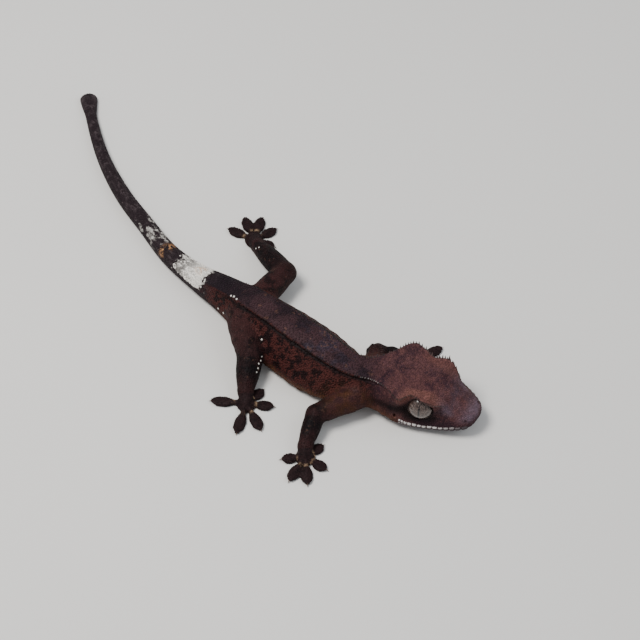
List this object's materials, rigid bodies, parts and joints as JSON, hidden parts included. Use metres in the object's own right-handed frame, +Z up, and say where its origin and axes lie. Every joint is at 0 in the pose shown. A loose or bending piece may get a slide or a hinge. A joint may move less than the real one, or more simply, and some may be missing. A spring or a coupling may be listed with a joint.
{
  "type": "crested gecko",
  "caption": "Life-size crested gecko lying alert on its belly, head turned and tail curved to its left, a still model for a scene or display.",
  "frame": {"origin": "on the floor, under the middle of the whole animal's box", "axes": "+X along the trunk towards the head, +Y to the animal's left, +Z up from the floor"},
  "size_m": [0.1456, 0.059, 0.0127],
  "materials": {
    "skin_head": "dry, finely granular, reddish brown",
    "skin_body": "dry, finely granular, dark purplish brown",
    "skin_tail": "dry, finely granular, blackish brown with cream patches",
    "eye": "wet and clear, grey-beige iris with a dark upright slit"
  },
  "bodies": {
    "root": {"head": "skin_head", "jaw": "skin_head", "eye_left": "eye", "eye_right": "eye", "neck": "skin_head", "torso": "skin_body", "tail_base": "skin_tail", "tail_middle": "skin_tail", "tail_tip": "skin_tail", "upper_arm_right": "skin_body", "forearm_right": "skin_body", "hand_right": "skin_body", "upper_arm_left": "skin_body", "forearm_left": "skin_body", "hand_left": "skin_body", "thigh_right": "skin_body", "shin_right": "skin_body", "foot_right": "skin_body", "thigh_left": "skin_body", "shin_left": "skin_body", "foot_left": "skin_body"}
  },
  "joints": []
}
